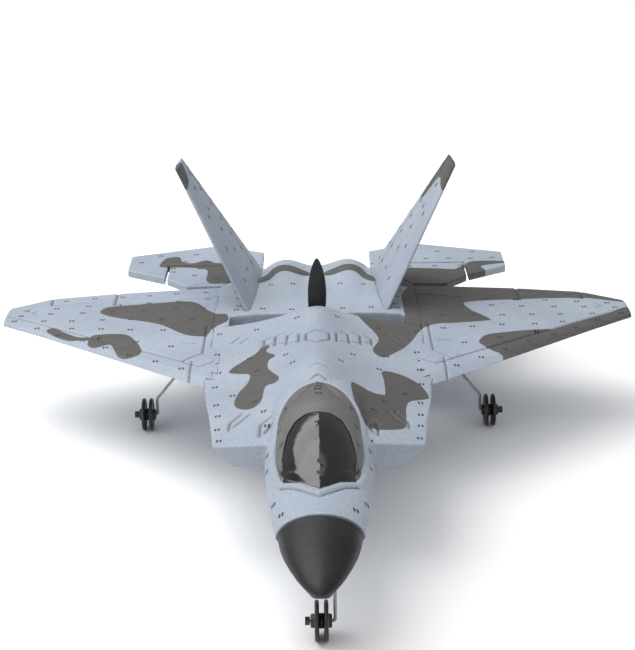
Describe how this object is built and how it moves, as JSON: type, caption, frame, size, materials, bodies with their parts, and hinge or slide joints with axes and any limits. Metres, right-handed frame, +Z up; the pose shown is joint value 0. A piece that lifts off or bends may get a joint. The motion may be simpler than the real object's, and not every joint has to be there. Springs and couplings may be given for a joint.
{
  "type": "rc jet plane",
  "caption": "Small foam radio-controlled jet with a pusher propeller in a body slot, canted twin fins, moving elevators and twin-disc wheels on wire legs.",
  "frame": {"origin": "bottom centre of the whole plane's box: on the ground under the wheels, midway between nose tip and tail, on the centre plane", "axes": "+Z up, +Y from the nose towards the tail, +X towards the pilot's left wing tip"},
  "size_m": [0.29, 0.382, 0.1127],
  "materials": {
    "foam_grey": "matte",
    "nose_black": "matte",
    "glazing_black": "gloss",
    "fairing_brown": "matte",
    "carbon": "satin",
    "plywood": "matte",
    "motor_silver": "satin",
    "winding_copper": "satin",
    "steel": "satin",
    "black_plastic": "satin",
    "brass_nut": "polished",
    "servo_case": "gloss",
    "white_nylon": "satin",
    "battery_wrap": "gloss",
    "strap_black": "matte",
    "plug_white": "gloss",
    "board_green": "gloss"
  },
  "bodies": {
    "airframe": {"nose_cone": "nose_black", "forward_fuselage": "foam_grey", "rear_fuselage": "foam_grey", "canopy_glazing": "glazing_black", "canopy_fairing": "fairing_brown", "left_wing": "foam_grey", "right_wing": "foam_grey", "left_fin": "foam_grey", "right_fin": "foam_grey", "left_tailplane": "foam_grey", "right_tailplane": "foam_grey", "wing_spar": "carbon", "firewall": "plywood", "motor_stator": "winding_copper", "motor_bearings": "steel", "motor_screws": "steel", "equipment_tray": "black_plastic", "battery": "battery_wrap", "battery_strap": "strap_black", "battery_plug": "plug_white", "flight_controller": "board_green", "speed_controller": "board_green", "nose_gear_block": "black_plastic", "left_gear_block": "black_plastic", "right_gear_block": "black_plastic", "nose_gear_leg": "steel", "left_gear_leg": "steel", "right_gear_leg": "steel", "axle_caps": "black_plastic", "left_servo": "servo_case", "right_servo": "servo_case", "servo_screws": "steel", "left_hinge_leaves": "white_nylon", "right_hinge_leaves": "white_nylon", "elevator_hinge_pins": "steel", "hatch_hinge_leaf": "white_nylon", "hatch_hinge_pin": "steel", "catch_magnet": "steel"},
    "propeller_unit": {"propeller": "black_plastic", "motor_bell": "motor_silver", "motor_shaft": "steel", "propeller_nut": "brass_nut"},
    "nose_wheel_unit": {"nose_wheel": "black_plastic"},
    "left_wheel_unit": {"left_wheel": "black_plastic"},
    "right_wheel_unit": {"right_wheel": "black_plastic"},
    "battery_hatch_unit": {"battery_hatch": "foam_grey", "hatch_magnet": "steel"},
    "left_elevator_unit": {"left_elevator": "foam_grey", "left_control_horn": "white_nylon", "left_elevator_leaves": "white_nylon"},
    "left_servo_arm_unit": {"left_servo_arm": "white_nylon"},
    "left_pushrod_unit": {"left_pushrod": "steel"},
    "right_elevator_unit": {"right_elevator": "foam_grey", "right_control_horn": "white_nylon", "right_elevator_leaves": "white_nylon"},
    "right_servo_arm_unit": {"right_servo_arm": "white_nylon"},
    "right_pushrod_unit": {"right_pushrod": "steel"}
  },
  "joints": [
    {"name": "propeller_spin", "type": "hinge", "parent": "airframe", "child": "propeller_unit", "pos_m": [0, 0.0585, 0.045], "axis": [0, 1, 0], "continuous": true},
    {"name": "nose_wheel_spin", "type": "hinge", "parent": "airframe", "child": "nose_wheel_unit", "pos_m": [0, -0.15, 0.0074], "axis": [1, 0, 0], "continuous": true},
    {"name": "left_wheel_spin", "type": "hinge", "parent": "airframe", "child": "left_wheel_unit", "pos_m": [0.0784, 0.051, 0.0074], "axis": [1, 0, 0], "continuous": true},
    {"name": "right_wheel_spin", "type": "hinge", "parent": "airframe", "child": "right_wheel_unit", "pos_m": [-0.0784, 0.051, 0.0074], "axis": [1, 0, 0], "continuous": true},
    {"name": "left_elevator_hinge", "type": "hinge", "parent": "airframe", "child": "left_elevator_unit", "pos_m": [0.05, 0.156, 0.046], "axis": [1, 0, 0], "range_deg": [-20, 20]},
    {"name": "left_servo_arm_pivot", "type": "hinge", "parent": "airframe", "child": "left_servo_arm_unit", "pos_m": [0.03, 0.1135, 0.042], "axis": [1, 0, 0], "range_deg": [-20, 20]},
    {"name": "left_pushrod_pivot", "type": "hinge", "parent": "left_servo_arm_unit", "child": "left_pushrod_unit", "pos_m": [0.03, 0.1135, 0.034], "axis": [1, 0, 0], "range_deg": [-20, 20]},
    {"name": "right_elevator_hinge", "type": "hinge", "parent": "airframe", "child": "right_elevator_unit", "pos_m": [-0.05, 0.156, 0.046], "axis": [1, 0, 0], "range_deg": [-20, 20]},
    {"name": "right_servo_arm_pivot", "type": "hinge", "parent": "airframe", "child": "right_servo_arm_unit", "pos_m": [-0.03, 0.1135, 0.042], "axis": [1, 0, 0], "range_deg": [-20, 20]},
    {"name": "right_pushrod_pivot", "type": "hinge", "parent": "right_servo_arm_unit", "child": "right_pushrod_unit", "pos_m": [-0.03, 0.1135, 0.034], "axis": [1, 0, 0], "range_deg": [-20, 20]},
    {"name": "battery_hatch_hinge", "type": "hinge", "parent": "airframe", "child": "battery_hatch_unit", "pos_m": [0.0144, -0.081, 0.032], "axis": [0, -1, 0], "range_deg": [0, 90]}
  ],
  "couplings": [
    {"joint": "left_servo_arm_pivot", "follows": "left_elevator_hinge", "ratio": 1},
    {"joint": "left_pushrod_pivot", "follows": "left_elevator_hinge", "ratio": -1},
    {"joint": "right_servo_arm_pivot", "follows": "right_elevator_hinge", "ratio": 1},
    {"joint": "right_pushrod_pivot", "follows": "right_elevator_hinge", "ratio": -1}
  ]
}
